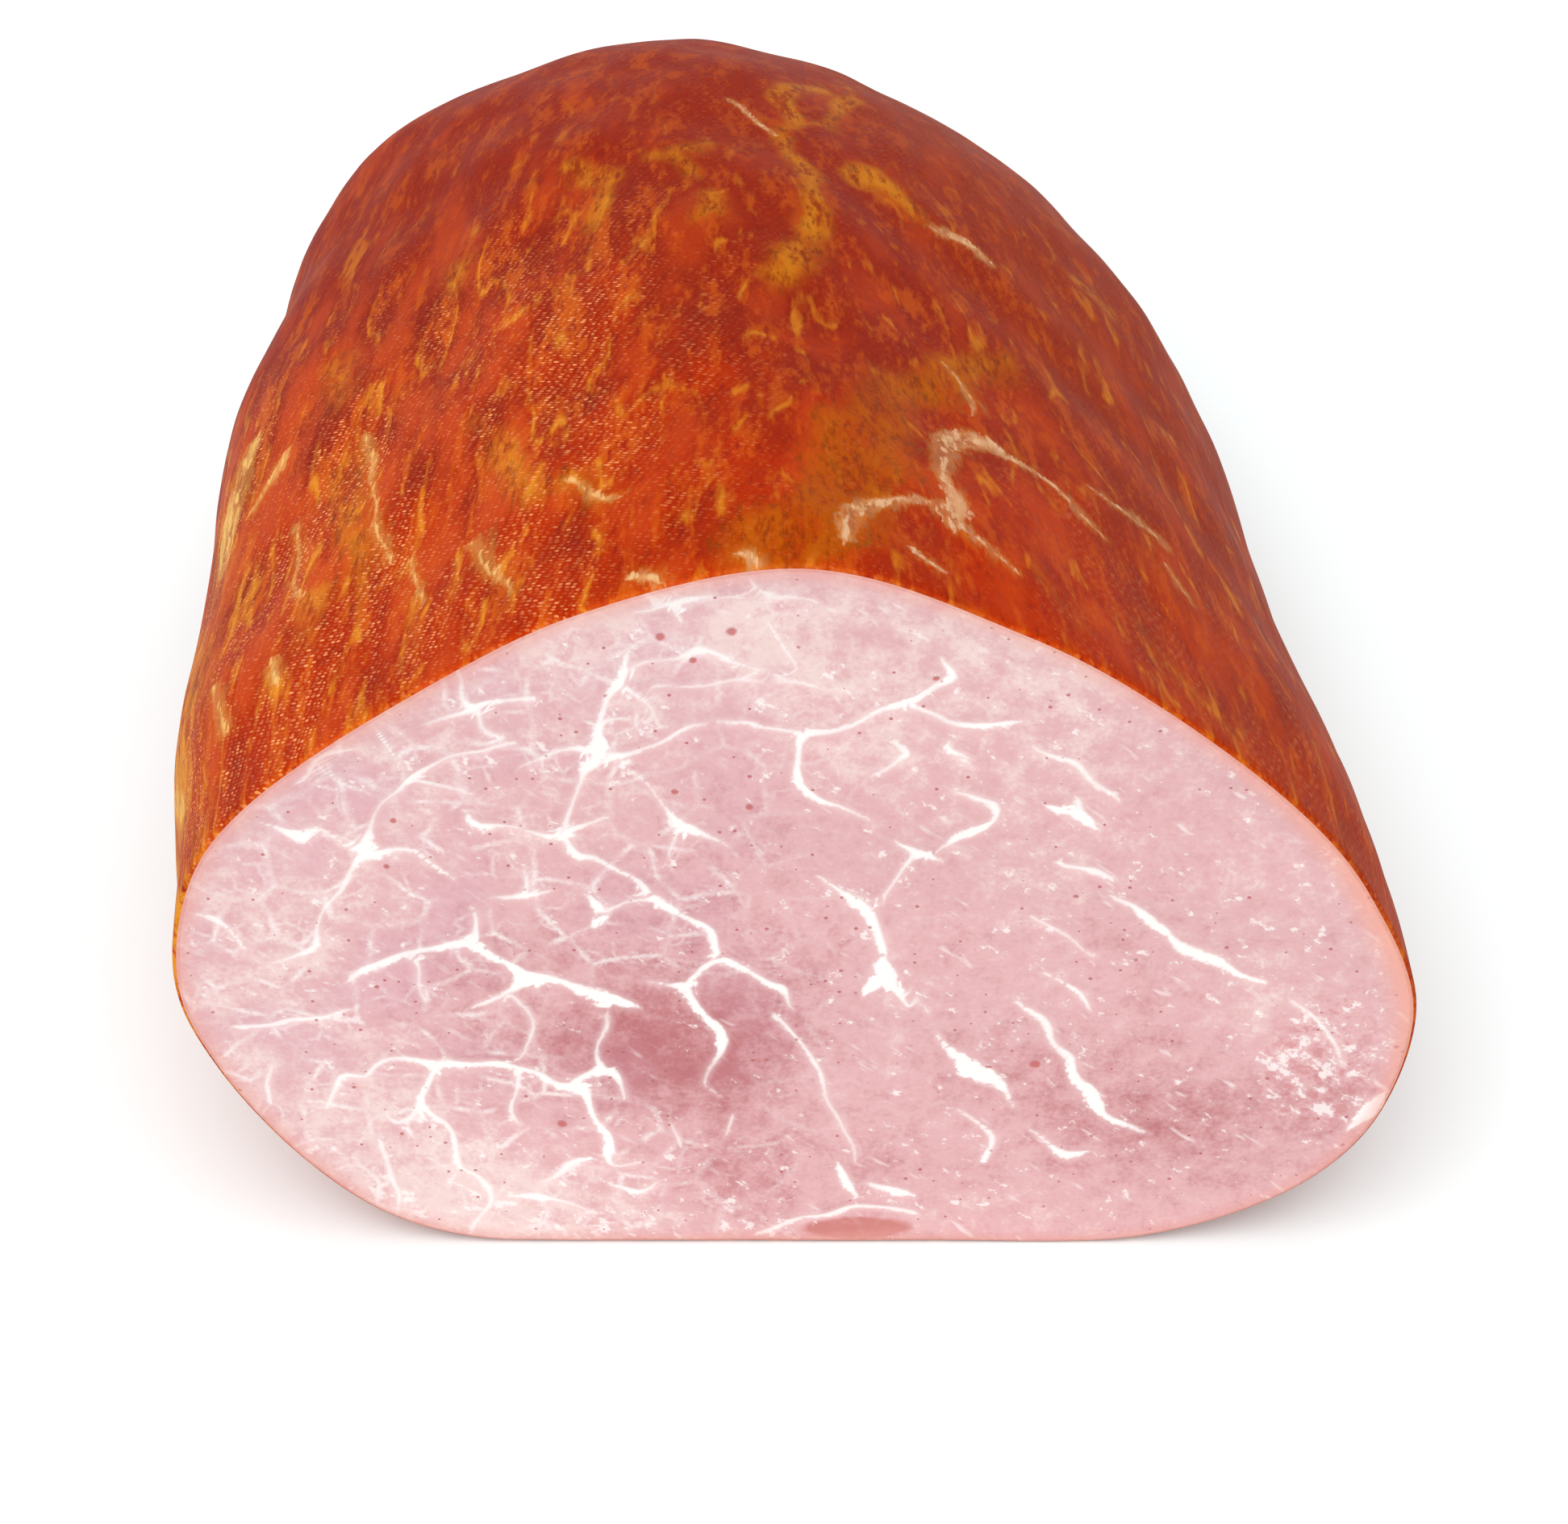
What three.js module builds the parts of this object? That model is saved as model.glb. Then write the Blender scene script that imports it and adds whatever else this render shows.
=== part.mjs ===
// A boneless smoked ham, pressed in a knitted net and cut straight across at its thick end.
// It lies on its flattened underside. Millimetres, +Z up; the cut face looks along -Y, the closed end
// points along +Y, and the origin is below the middle of the ham, on the surface it rests on.
import * as THREE from "three";

// Driving dimensions
const cutWidth = 170;
const cutHeight = 129;
const hamLength = 235;
const cutEdgeRound = 0.9;

// The outline of the cut, clockwise from the left end of the resting flat.
// Each point is [share of the half width, share of the height].
const cutOutline = [
  [-0.4, 0], [-0.56, 0.009], [-0.7, 0.052], [-0.835, 0.148], [-0.953, 0.3], [-0.994, 0.422],
  [-0.941, 0.589], [-0.847, 0.686], [-0.606, 0.822], [-0.329, 0.942], [0.006, 1], [0.335, 0.919],
  [0.565, 0.814], [0.818, 0.647], [0.912, 0.547], [1, 0.384], [0.971, 0.209], [0.88, 0.11],
  [0.747, 0.045], [0.59, 0.008], [0.44, 0], [0.06, -0.008],
];

// The body behind the cut: how it thins towards the closed end. A taper is 1 at the cut and 0 at the tip;
// start says how far back the thinning waits, and round how blunt the end is.
const sideTaper = { start: 4.3, round: 2.6 };
const topTaper = { start: 1.2, round: 1.8 };
const undersideTaper = { start: 2.4, round: 2 };
const underside = { flatShare: 0.5 };
const tipHeight = 52;
const topSag = 0.05;
const sideLean = -21.5;
const leanReturn = 2.2;
const middleHeightShare = 0.43;

// Swellings and hollows pressed into the meat: degrees round the section (0 right, 90 top),
// millimetres back from the cut, height, and reach both ways.
const swellings = [
  { name: "right cheek", around: 5, along: 25, out: 1.3, reachAround: 25, reachAlong: 26 },
  { name: "right waist", around: 3, along: 92, out: -1.3, reachAround: 25, reachAlong: 24 },
  { name: "right hip", around: 8, along: 155, out: 2, reachAround: 22, reachAlong: 24 },
  { name: "ridge dip", around: 80, along: 216, out: -2.2, reachAround: 22, reachAlong: 30 },
  { name: "left shoulder", around: 140, along: 212, out: 2.4, reachAround: 22, reachAlong: 30 },
  { name: "left waist", around: 167, along: 158, out: -2.4, reachAround: 20, reachAlong: 26 },
  { name: "left cheek", around: 173, along: 36, out: 1.9, reachAround: 25, reachAlong: 20 },
  { name: "left crease", around: 128, along: 40, out: -1, reachAround: 5, reachAlong: 12 },
  { name: "top valley", around: 62, along: 78, out: -0.9, reachAround: 12, reachAlong: 34 },
  { name: "top ridge", around: 104, along: 120, out: 0.8, reachAround: 14, reachAlong: 40 },
];

// Low waves over the whole skin, as the net leaves them.
const waves = [
  { height: 0.45, roundTurns: 5, alongLength: 96, phase: 0.7 },
  { height: 0.35, roundTurns: 8, alongLength: 61, phase: 2.1 },
  { height: 0.2, roundTurns: 13, alongLength: 43, phase: 4.4 },
];

// Facets
const pointsAround = 84;
const ringsAlong = 40;
const ringCrowding = 1.7;

const degrees = Math.PI / 180;
const gauss = (distance, reach) => Math.exp(-((distance / reach) ** 2));

// 1 at the cut, 0 at the tip.
function taper(share, { start, round }) {
  return Math.max(0, 1 - share ** start) ** (1 / round);
}

// The cut's outline as evenly spaced points, flat where it rests.
function outlineRing() {
  const corners = cutOutline.map(([x, z]) => new THREE.Vector3((x * cutWidth) / 2, z * cutHeight, 0));
  const curve = new THREE.CatmullRomCurve3(corners, true, "centripetal");
  curve.arcLengthDivisions = 2000;
  return curve
    .getSpacedPoints(pointsAround)
    .slice(0, pointsAround)
    .map((p) => ({ x: p.x, z: Math.max(0, p.y) }));
}

// How far the skin stands out at this angle and distance, over the plain tapered form.
function skinRelief(angle, along) {
  let out = 0;
  for (const s of swellings) {
    const turn = ((((angle - s.around + 180) % 360) + 360) % 360) - 180;
    out += s.out * gauss(turn, s.reachAround) * gauss(along - s.along, s.reachAlong);
  }
  for (const w of waves) {
    const turn = w.roundTurns * angle * degrees + w.phase;
    out += w.height * Math.sin(turn) * Math.sin((2 * Math.PI * along) / w.alongLength + w.phase);
  }
  return out;
}

// One ring of the skin at a share of the length, pulled in by inset.
function ringAt(outline, share, inset) {
  const along = share * hamLength;
  const rise = Math.sin(Math.PI * Math.min(share * 1.25, 1));
  const top = tipHeight + (cutHeight - tipHeight) * taper(share, topTaper) * (1 - topSag * rise);
  const back = Math.max(0, (share - underside.flatShare) / (1 - underside.flatShare));
  const bottom = tipHeight * (1 - taper(back, undersideTaper));
  const side = taper(share, sideTaper);
  const middle = bottom + (top - bottom) * middleHeightShare;
  const drift = sideLean * share + leanReturn * share * share;
  const fade = Math.min(1, (1 - share) * 6) * Math.min(1, 0.35 + along / 20);
  return outline.map((p) => {
    const angle = Math.atan2(p.z - cutHeight * middleHeightShare, p.x) / degrees;
    const x = p.x * side;
    const z = bottom + (p.z / cutHeight) * (top - bottom);
    const reach = Math.hypot(x, z - middle) || 1;
    const push = (skinRelief((angle + 360) % 360, along) * fade - inset) / reach;
    return new THREE.Vector3(x * (1 + push) + drift, along, Math.max(bottom, z + (z - middle) * push));
  });
}

// Shares of the length where the rings stand: two at the rounded cut edge, then closer and closer to the tip.
function ringPlaces() {
  const places = [
    { share: 0, inset: cutEdgeRound },
    { share: (cutEdgeRound * 0.3) / hamLength, inset: cutEdgeRound * 0.3 },
  ];
  const first = cutEdgeRound / hamLength;
  for (let i = 0; i < ringsAlong; i++) {
    const step = 1 - (1 - i / ringsAlong) ** ringCrowding;
    places.push({ share: first + (1 - first) * step, inset: 0 });
  }
  return places;
}

// Joins the rings into one closed skin, with a middle point on the cut and one at the tip.
function hamGeometry() {
  const outline = outlineRing();
  const rings = ringPlaces().map(({ share, inset }) => ringAt(outline, share, inset));
  const points = rings.flat();
  const index = [];
  const next = (j) => (j + 1) % pointsAround;
  for (let i = 0; i + 1 < rings.length; i++) {
    for (let j = 0; j < pointsAround; j++) {
      const a = i * pointsAround + j;
      const b = i * pointsAround + next(j);
      index.push(a, b, b + pointsAround, a, b + pointsAround, a + pointsAround);
    }
  }
  const cutMiddle = points.push(new THREE.Vector3(0, 0, cutHeight * middleHeightShare)) - 1;
  const tip = points.push(new THREE.Vector3(sideLean + leanReturn, hamLength, tipHeight)) - 1;
  const last = (rings.length - 1) * pointsAround;
  for (let j = 0; j < pointsAround; j++) {
    index.push(cutMiddle, next(j), j);
    index.push(tip, last + j, last + next(j));
  }
  const geometry = new THREE.BufferGeometry().setFromPoints(points).setIndex(index);
  geometry.computeBoundingBox();
  const middle = geometry.boundingBox.getCenter(new THREE.Vector3());
  geometry.translate(-middle.x, -middle.y, -geometry.boundingBox.min.z);
  geometry.computeVertexNormals();
  return geometry;
}

const smokedRind = new THREE.MeshStandardMaterial({ color: 0xb04a20, roughness: 0.42, metalness: 0 });

const ham = new THREE.Mesh(hamGeometry(), smokedRind);
ham.name = "ham";

const smokedHam = new THREE.Group();
smokedHam.add(ham);

export default smokedHam;
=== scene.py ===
from math import pi, radians

import bpy
import numpy as np
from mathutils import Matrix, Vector


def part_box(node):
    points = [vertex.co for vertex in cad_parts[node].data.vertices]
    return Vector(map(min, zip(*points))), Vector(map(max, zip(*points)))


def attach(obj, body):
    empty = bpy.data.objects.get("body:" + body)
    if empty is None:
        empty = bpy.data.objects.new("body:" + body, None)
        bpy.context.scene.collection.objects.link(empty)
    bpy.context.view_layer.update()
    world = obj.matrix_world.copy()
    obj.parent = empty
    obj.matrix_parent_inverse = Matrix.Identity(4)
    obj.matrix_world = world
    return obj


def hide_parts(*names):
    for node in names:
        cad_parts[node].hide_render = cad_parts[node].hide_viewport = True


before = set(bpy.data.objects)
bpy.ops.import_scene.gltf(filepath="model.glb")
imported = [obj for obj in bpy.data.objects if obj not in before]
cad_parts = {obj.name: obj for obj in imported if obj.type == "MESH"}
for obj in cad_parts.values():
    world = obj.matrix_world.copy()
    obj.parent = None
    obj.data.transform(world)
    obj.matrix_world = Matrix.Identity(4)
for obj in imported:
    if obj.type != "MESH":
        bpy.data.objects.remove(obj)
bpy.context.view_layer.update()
print("frame loaded")

mm = 0.001

# The ham's form, in millimetres from the middle of the cut's resting edge: x to the right, y back, z up.
form = {
    "cutWidth": 170,
    "cutHeight": 129,
    "length": 235,
    "edgeRound": 0.9,
    "middleShare": 0.43,  # height of the cut's middle
    "sideTaper": (4.3, 2.6),  # where the thinning starts, and how blunt the end is
    "topTaper": (1.2, 1.8),
    "undersideTaper": (2.4, 2),
    "flatShare": 0.5,
    "tipHeight": 52,
    "topSag": (0.05, 1.25),  # its depth, and its pace: at 1.25 it ends at four fifths of the length
    "lean": -21.5,
    "leanReturn": 2.2,
    # Shares of the half width and of the height, clockwise from the left end of the resting flat
    "outline": [
        (-0.4, 0), (-0.56, 0.009), (-0.7, 0.052), (-0.835, 0.148), (-0.953, 0.3), (-0.994, 0.422),
        (-0.941, 0.589), (-0.847, 0.686), (-0.606, 0.822), (-0.329, 0.942), (0.006, 1), (0.335, 0.919),
        (0.565, 0.814), (0.818, 0.647), (0.912, 0.547), (1, 0.384), (0.971, 0.209), (0.88, 0.11),
        (0.747, 0.045), (0.59, 0.008), (0.44, 0), (0.06, -0.008),
    ],
    # Degrees round, millimetres along, height out, and reach both ways
    "swellings": [
        (5, 25, 1.3, 25, 26), (3, 92, -1.3, 25, 24), (8, 155, 2, 22, 24), (80, 216, -2.2, 22, 30),
        (140, 212, 2.4, 22, 30), (167, 158, -2.4, 20, 26), (173, 36, 1.9, 25, 20), (128, 40, -1, 5, 12),
        (62, 78, -0.9, 12, 34), (104, 120, 0.8, 14, 40),
    ],
    # Height, turns round, length along and phase
    "waves": [(0.45, 5, 96, 0.7), (0.35, 8, 61, 2.1), (0.2, 13, 43, 4.4)],
    # Softer lumps of the muscle under the skin: height, size and seed
    "lumps": [(0.3, 21, 11), (0.07, 7.5, 12)],
    "lumpPace": 0.6,  # below 1 draws them out along the ham
    "lumpStart": 12,  # how far back from the cut they are full
    "reliefStart": (0.35, 20),  # the share of all this at the cut, and the length over which it grows by 1
    "reliefEnd": 6,  # how steeply it fades at the tip
    "gridAcross": 144,
    "gridUp": 116,
    "ringCuts": (71, 1),  # cut twice, so 72 and then 144 stretches
    "edgeRings": 4,
    "ringCrowding": 1.3,
}

# The cut face, in millimetres: x to the right of the cut's middle, z up from the surface it rests on.
cutFace = {
    "setBack": 0.3,
    "edgeFade": (0.5, 5),  # from the rind inwards: where the set back begins, and where it is full
    "depthLimit": 1.1,  # what lies deeper is rind
    "uneven": [(0.25, 38, 9)],  # height, size and seed, as in the wobbles
    "seamDepth": 0.22,
    "seamSoftness": 0.5,
    "wobbleAcross": [(0.55, 7, 3)],
    "wobbleUp": [(0.55, 7, 4)],
    "crumble": {"place": (73, 38), "reach": (8, 14), "depth": 0.25, "lift": 0.4, "lumps": (3.2, 8)},
    # Fat seams: each point is x, z and the seam's width there
    "seams": [
        [(-60, 56, 0.6), (-57, 58.5, 1.6), (-54, 60, 1.1), (-50, 61, 1.0), (-47, 62.7, 1.6),
         (-43.5, 62.5, 2.2), (-40.5, 59.5, 1.4), (-37, 56, 2.6), (-33, 56, 1.5), (-30, 54.5, 1.6),
         (-26.5, 52.5, 2.8), (-22, 50.5, 1.0)],
        [(-43.5, 62.5, 1.4), (-43.3, 66, 0.9), (-43, 69.5, 0.6)],
        [(-37, 55.5, 2.0), (-39, 52.6, 1.0), (-41.5, 51.3, 1.0), (-44.5, 50, 0.6)],
        [(-38.5, 52, 0.7), (-37, 48.5, 0.5), (-36, 45, 0.6), (-38, 40.5, 0.4)],
        [(-52, 60, 1.0), (-51, 57, 0.6), (-50.5, 52, 0.4)],
        [(-66, 30, 0.5), (-63.5, 35.3, 1.2), (-60, 36, 0.9), (-58, 39, 0.9), (-54, 39.8, 0.9),
         (-50, 38.5, 1.7), (-45, 39, 1.2), (-41.5, 39, 1.2), (-38.5, 37.5, 1.2), (-35.5, 36.5, 1.2),
         (-32.5, 35, 1.7), (-30, 34, 2.0), (-29.2, 31, 1.3), (-28.3, 27.5, 1.3), (-27.3, 23.5, 1.8),
         (-26.8, 20, 2.2)],
        [(-50.5, 38, 1.6), (-51.5, 34, 1.1), (-53, 30.5, 1.6), (-52, 27.7, 1.2), (-50, 25.5, 0.9),
         (-49, 22.5, 1.0), (-48.5, 17, 1.1), (-46, 14.7, 1.0), (-44, 12, 1.0), (-44.3, 8.5, 0.7),
         (-47, 4, 0.6), (-47.5, 1.5, 0.6)],
        [(-53, 29.5, 1.0), (-54.5, 27, 0.8), (-57, 26, 0.7), (-58, 28, 0.4)],
        [(-55.5, 26.3, 0.9), (-54.5, 23, 0.5)],
        [(-31, 34.8, 1.6), (-28.5, 36.5, 1.4), (-26.6, 37.6, 2.4), (-25, 35.5, 1.1), (-23.7, 31.5, 0.6)],
        [(-27, 38.5, 1.2), (-27.4, 42, 0.6), (-26.5, 45.5, 0.8), (-26.2, 49, 0.4)],
        [(-39, 37, 1.1), (-38.5, 33, 0.7), (-39.6, 29.5, 0.8), (-39.5, 25.5, 0.5)],
        [(-77, 46, 0.9), (-72, 46.5, 0.9), (-68, 47.5, 1.0), (-64, 49, 0.8), (-60.5, 49.7, 0.5)],
        [(-74, 31.5, 0.7), (-74, 35, 0.7), (-72.8, 38.5, 0.4)],
        [(-80, 68.5, 0.5), (-78, 67.5, 1.1), (-76, 65.5, 0.7), (-74.3, 62, 0.8)],
        [(-70, 60, 0.5), (-66.5, 61.3, 0.9), (-64.3, 62.6, 1.2), (-64, 66, 0.6), (-62.5, 70, 0.6),
         (-60.5, 74, 0.8), (-58.5, 77, 0.8), (-56.7, 80, 2.0), (-54.7, 86, 0.5), (-52.3, 90, 0.6),
         (-49.3, 92.8, 1.3), (-45, 96.5, 0.6), (-40, 98, 0.7), (-36, 99.6, 0.6)],
        [(-56.7, 80, 1.8), (-52, 80, 0.9), (-49, 79.7, 0.8), (-46.8, 77.5, 1.0), (-45, 75.3, 0.4)],
        [(-57, 80.5, 1.2), (-60, 83, 0.6), (-63, 84.2, 0.9), (-65, 83, 1.8), (-68, 85, 0.7), (-70, 86, 0.4)],
        [(-49.3, 92.8, 0.9), (-45, 91.5, 0.6), (-42.5, 90.5, 0.4)],
        [(-42.6, 87.7, 0.5), (-41, 84.7, 1.4), (-37.5, 84.3, 0.6), (-34, 83.8, 0.7), (-30.5, 83.3, 2.0),
         (-29, 84.7, 1.0), (-25, 87, 0.5)],
        [(-20.8, 114.5, 0.7), (-22, 111, 1.7), (-23.5, 108, 1.0), (-24.6, 104.5, 1.0), (-25.3, 101, 1.3),
         (-25.5, 97.5, 2.8), (-27.5, 94, 0.9), (-29.2, 90, 0.6), (-30, 85.5, 0.8), (-30, 82, 1.2),
         (-28.7, 79.3, 1.3), (-26, 78.6, 0.8), (-23.5, 77, 0.9), (-21.3, 75, 0.8), (-19.5, 72, 1.3),
         (-18, 70.5, 2.0), (-15.5, 68.3, 0.9), (-12.7, 66.5, 1.3), (-11.2, 65, 1.2), (-10.9, 62, 1.3),
         (-10.3, 59.7, 2.0), (-8.3, 58.5, 1.9), (-6, 57, 1.2), (-3.5, 55, 1.3), (-1.2, 53.7, 1.2),
         (-0.3, 50, 0.5)],
        [(-25.5, 97.7, 1.6), (-29.5, 98.2, 0.6), (-35, 95.3, 0.4)],
        [(-25, 97.3, 1.8), (-21, 97.7, 0.8), (-17.7, 99.2, 0.6), (-15, 101.6, 0.9), (-11, 102.6, 0.4)],
        [(-24.5, 96.5, 1.2), (-21.8, 94.5, 0.6), (-19.7, 92, 0.5), (-17.5, 88.5, 0.6), (-15.5, 85.2, 1.6),
         (-14, 84, 1.8), (-12, 83, 0.9), (-9, 81.5, 0.5)],
        [(-15.6, 84, 0.9), (-16, 82, 0.5), (-16.5, 79, 0.4)],
        [(-21.5, 109.7, 0.8), (-19, 107, 0.6), (-17.5, 103.5, 0.4)],
        [(-24, 103.3, 0.6), (-20, 103.8, 0.4), (-15.5, 102.3, 0.5)],
        [(-20.5, 112, 0.6), (-16, 113.5, 0.5), (-12, 115, 1.2), (-7, 112.5, 0.7), (-2, 110.5, 0.6),
         (3, 109, 0.6), (6, 108.3, 0.4)],
        [(-18, 109.6, 0.4), (-8, 109.5, 0.5), (0, 109.6, 0.5)],
        [(-19, 127, 1.1), (-18.3, 124.5, 0.9), (-16.4, 123.2, 0.9), (-15, 122.2, 1.9), (-11.5, 123.7, 0.6),
         (-4, 123.8, 0.5), (2, 123, 0.4)],
        [(-15, 122, 1.0), (-14.3, 119.7, 0.5)],
        [(-15.5, 122.7, 0.9), (-19.5, 121.5, 0.4)],
        [(-5.5, 127.5, 0.5), (-4, 125.5, 0.7), (0, 123.5, 0.5), (5, 121.5, 0.4)],
        [(-4, 120, 0.4), (-1.5, 116, 0.7), (0, 112.3, 0.4)],
        [(18, 113.7, 0.6), (19.5, 110.7, 1.5), (17, 108.7, 0.9), (13.7, 106.4, 1.5), (10.5, 104.5, 0.9),
         (7, 102.6, 0.8), (4, 101, 0.9), (1.2, 100.3, 1.3), (0.9, 97, 0.9), (0.5, 93, 1.7), (2.5, 90.3, 1.3),
         (6, 88.8, 0.8), (9, 86.5, 0.4)],
        [(-9, 103.5, 0.5), (-6, 103.2, 0.8), (-3.5, 102, 0.8), (1, 100.7, 0.7)],
        [(13.7, 106.2, 1.0), (17, 104.2, 0.7), (20, 102.7, 0.8), (24.5, 102.3, 1.4), (28.5, 103, 0.5)],
        [(9.7, 94, 0.5), (13, 95.6, 0.7), (14, 96.7, 1.1), (12.3, 98.6, 0.6)],
        [(19.6, 99.5, 0.6), (19.6, 98.2, 1.3), (22, 96.5, 0.4)],
        [(20, 91, 0.5), (23, 90, 0.9), (25.5, 88.5, 1.1), (25.5, 86.7, 1.1), (22.3, 84, 2.0),
         (19.3, 81.3, 0.6)],
        [(13.5, 82.5, 0.5), (16, 80.2, 1.7), (19.6, 78.5, 0.4)],
        [(16, 80, 1.3), (15, 77.5, 0.8), (13.2, 74, 0.6), (11.5, 71, 0.6)],
        [(3, 75, 0.6), (6, 72.5, 1.1), (8.3, 70.5, 1.8), (9.7, 68.8, 1.9), (10.6, 66, 1.2), (11.6, 63, 1.4),
         (12, 60.5, 1.4), (12.3, 57.5, 2.9), (13.6, 54, 1.8), (15, 51.2, 0.9)],
        [(11.6, 60, 1.8), (11.3, 56.7, 2.6), (10.4, 53.5, 1.6)],
        [(-19, 55.5, 0.7), (-17, 54.6, 0.9), (-15, 53.7, 2.0), (-13.6, 50, 1.4), (-12.5, 47.5, 1.4),
         (-10.5, 44.9, 2.4), (-10.7, 42.2, 1.2), (-12.3, 38, 0.5), (-13, 34, 0.5), (-10.5, 31.7, 0.4)],
        [(-14.7, 54, 1.7), (-13.3, 56, 1.2), (-12, 58.3, 1.1), (-10.3, 59.7, 1.5)],
        [(-27.6, 71.8, 1.0), (-26.4, 69, 2.0), (-27, 67, 1.2)],
        [(-25.8, 69, 0.8), (-22, 70.3, 0.6), (-19, 71, 0.8)],
        [(-2.8, 48, 0.8), (-1, 46, 0.9), (1, 43, 0.8), (3, 39, 0.9), (4.2, 35.5, 0.8), (5, 31, 0.5),
         (6.5, 27, 0.6), (8, 22, 0.5), (8.5, 18.5, 0.4)],
        [(15.7, 54.3, 0.4), (18.2, 49.5, 0.4)],
        [(18.7, 45.3, 0.6), (21, 41.7, 1.4), (23.5, 38.8, 4.0), (25.7, 37, 3.6), (28.5, 34, 1.8),
         (31, 29.5, 0.5)],
        [(30.5, 51.7, 0.7), (33, 49, 1.1), (35, 46, 1.1), (36, 43, 0.9), (38, 40, 1.3), (39.5, 36, 1.6),
         (41.5, 32, 2.6), (44, 28, 1.8), (46.3, 26.2, 1.1), (49.7, 23.7, 0.5)],
        [(33.8, 56.8, 0.5), (37, 54.6, 0.8), (39.5, 52, 1.2), (41.2, 49.8, 0.5)],
        [(42, 71.5, 0.6), (46, 68.7, 1.5), (49, 66, 1.9), (51, 63, 1.3), (54, 61, 1.5), (57, 58.6, 1.8),
         (60, 56.2, 1.4), (63.3, 55, 1.0)],
        [(31.5, 68, 0.6), (36, 64.5, 0.5), (41, 60, 0.4)],
        [(31, 99, 0.5), (35, 96.5, 1.0), (38, 92.7, 0.8), (41, 89.8, 0.5)],
        [(33, 88.3, 1.0), (36, 86.8, 2.1), (38.5, 85.3, 0.9)],
        [(36.5, 90.5, 0.5), (36.2, 87, 1.4)],
        [(35, 78.2, 0.6), (38, 76.6, 1.1), (41.3, 75, 0.8)],
        [(33.3, 24.7, 0.5), (36.5, 21.5, 0.9), (38.7, 19.2, 1.8), (40.6, 19.6, 1.0)],
        [(23.5, 28.2, 0.4), (27, 25.5, 0.8), (28.6, 22.5, 1.0), (27.5, 18.5, 1.2)],
        [(5.5, 17, 0.8), (6.5, 14, 2.1), (8.5, 10.5, 0.8)],
        [(11, 12.8, 0.8), (15, 10.6, 1.8), (17, 9.8, 0.8)],
        [(-5, 2, 0.8), (-1, 3.8, 0.9), (3, 6, 1.0), (8, 7.4, 1.0), (13, 7, 0.9), (17.5, 5.7, 0.8)],
        [(-43.5, 113, 0.4), (-42, 110.5, 0.8), (-41.7, 107.3, 0.8), (-40.6, 105.5, 1.6), (-37, 106.8, 0.8),
         (-33, 107.4, 0.8)],
        [(-40.8, 105, 1.2), (-44, 104.4, 0.6), (-46.5, 103, 0.4)],
        [(-40.3, 105, 0.9), (-39.5, 102.3, 0.6), (-37, 100.4, 0.9)],
        [(-56.5, 98.7, 0.5), (-61, 96.8, 1.0), (-64.5, 93, 0.6)],
        [(-60, 96, 0.7), (-59, 93, 0.6), (-56, 90.5, 0.4)],
        [(-53.5, 103, 0.5), (-51.7, 99.5, 0.9), (-51, 96.5, 0.4)],
        [(-40, 71.6, 0.5), (-36, 72, 1.4), (-32, 72.6, 0.4)],
        [(-36, 72, 1.0), (-35.2, 76, 0.5)],
        [(-60, 22, 0.9), (-59, 18, 0.6), (-58, 14, 0.8), (-57.3, 10, 0.7), (-58, 6, 0.5)],
        [(-30, 18, 1.2), (-33, 16.6, 1.0), (-36.5, 13.5, 0.5)],
        [(-27, 19.5, 1.4), (-26, 17.7, 0.7), (-22, 18, 0.5)],
        [(-26.3, 12.7, 0.7), (-22.5, 11.4, 1.5), (-19.5, 12.8, 0.5)],
        [(-40.5, 10.5, 0.8), (-37.5, 10.4, 1.4), (-33, 9, 0.7), (-30, 7.3, 0.4)],
        [(-17.5, 25.5, 0.4), (-17, 21.5, 0.6)],
        [(-9.3, 27, 0.6), (-10, 24, 0.5)],
        [(68, 51, 0.5), (70.5, 48.7, 0.8), (73, 46, 1.0), (75, 43, 0.8), (76, 39, 0.5)],
        [(82.6, 33, 0.6), (81.4, 29.5, 3), (79.2, 25.5, 0.8)],
    ],
    # Small holes in the meat: x, z and radius
    "holes": [
        (-16.8, 117.4, 0.75), (-8, 118.2, 0.8), (-12.9, 113.4, 0.55), (-33, 26, 0.8), (-15.6, 91, 0.55),
        (-6, 88.4, 0.6), (-52.3, 85.8, 0.5), (-53.8, 77.6, 0.45), (33.4, 38.7, 0.95), (17.5, 110.3, 0.5),
        (27, 37.8, 0.4), (83.3, 42.6, 0.4), (11.9, 60.7, 0.4), (37.2, 72, 0.4), (-57, 54.5, 0.4),
    ],
    # Where the meat is darker, above zero, or paler: x, z, reach across, reach up, amount
    "tones": [
        (-17, 42, 16, 14, 0.75), (-12, 26, 9, 16, 0.35), (-30, 44, 20, 12, 0.25), (51, 46, 9, 8, 0.2),
        (50, 27, 26, 16, 0.3), (40, 40, 20, 22, 0.15), (-8, 60, 26, 30, 0.28), (-42, 56, 16, 14, 0.3),
        (66, 20, 18, 12, 0.25), (8, 20, 7, 14, 0.35), (-8, 14, 9, 9, 0.4), (-44, 8, 30, 16, -0.6),
        (-70, 40, 16, 30, -0.4), (0, 116, 50, 16, -0.55), (-62, 88, 22, 20, -0.25), (62, 82, 20, 26, -0.1),
        (30, 90, 30, 20, -0.12), (63, 46, 7, 8, -0.2), (34, 8, 16, 6, -0.15),
    ],
    "pocket": {"place": (9, 3.2), "reach": (9.5, 2.7)},
}

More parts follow.
